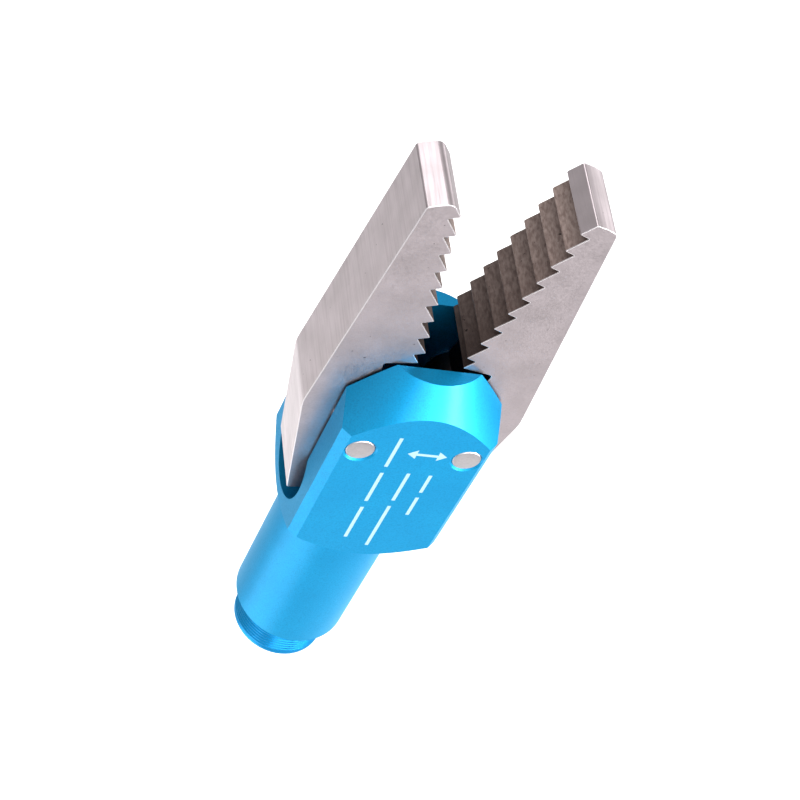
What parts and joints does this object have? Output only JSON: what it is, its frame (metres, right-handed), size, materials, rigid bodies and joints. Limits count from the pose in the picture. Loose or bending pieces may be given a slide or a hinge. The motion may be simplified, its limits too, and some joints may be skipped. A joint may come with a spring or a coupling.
{
  "type": "pneumatic gripper",
  "caption": "Angular pneumatic gripper with a round mounting shank, a four-flat anodised head and two toothed steel jaws that swing open by spring and close by air.",
  "frame": {"origin": "centre of the end cap's rear face, on the gripper's axis", "axes": "+Z along the gripper's axis towards the jaw tips, X across the two jaws so that they swing in the XZ plane, Y along the pivot pins"},
  "size_m": [0.0354, 0.025, 0.1184],
  "materials": {
    "body_anodised": "light blue anodised, bead-blasted satin",
    "cap_anodised": "blue anodised, fine turned thread",
    "jaw_steel": "ground and cast tool steel, satin",
    "pin_steel": "ground hardened steel",
    "spring_steel": "drawn wire",
    "piston_aluminium": "fine turned",
    "bush_bronze": "sintered bronze",
    "seal_rubber": "moulded nitrile",
    "guide_plastic": "filled low-friction plastic",
    "wiper_felt": "oiled felt"
  },
  "bodies": {
    "root": {"body": "body_anodised", "end_cap": "cap_anodised", "end_cap_o_ring": "seal_rubber", "end_bumper": "seal_rubber", "rod_bush": "bush_bronze", "rod_wiper": "wiper_felt", "spring_seat": "pin_steel", "return_spring": "spring_steel", "pivot_pin_left": "pin_steel", "pivot_pin_right": "pin_steel", "jaw_shim_left_front": "pin_steel", "jaw_shim_left_rear": "pin_steel", "jaw_shim_right_front": "pin_steel", "jaw_shim_right_rear": "pin_steel"},
    "piston_group": {"piston": "piston_aluminium", "piston_seal": "seal_rubber", "piston_guide_ring": "guide_plastic", "piston_washer": "pin_steel", "piston_screw": "spring_steel", "piston_rod": "pin_steel", "cam_plate": "jaw_steel", "cam_plate_pin": "pin_steel"},
    "left_jaw_group": {"jaw_left": "jaw_steel", "jaw_bush_left": "bush_bronze", "tail_pin_left": "pin_steel"},
    "right_jaw_group": {"jaw_right": "jaw_steel", "jaw_bush_right": "bush_bronze", "tail_pin_right": "pin_steel"}
  },
  "joints": [
    {"name": "piston_slide", "type": "slide", "parent": "root", "child": "piston_group", "axis": [0, 0, 1], "range_m": [0, 0.005], "stiffness_N_per_m": 1500, "springref_m": -0.006, "deforming": ["return_spring"]},
    {"name": "left_jaw_pivot", "type": "hinge", "parent": "root", "child": "left_jaw_group", "pos_m": [-0.0086, 0, 0.07], "axis": [0, 1, 0], "range_deg": [0, 10.75]},
    {"name": "right_jaw_pivot", "type": "hinge", "parent": "root", "child": "right_jaw_group", "pos_m": [0.0086, 0, 0.07], "axis": [0, 1, 0], "range_deg": [-10.75, 0]}
  ],
  "couplings": [
    {"joint": "left_jaw_pivot", "follows": "piston_slide", "rad_per_m": 37.35},
    {"joint": "right_jaw_pivot", "follows": "piston_slide", "rad_per_m": -37.35}
  ]
}
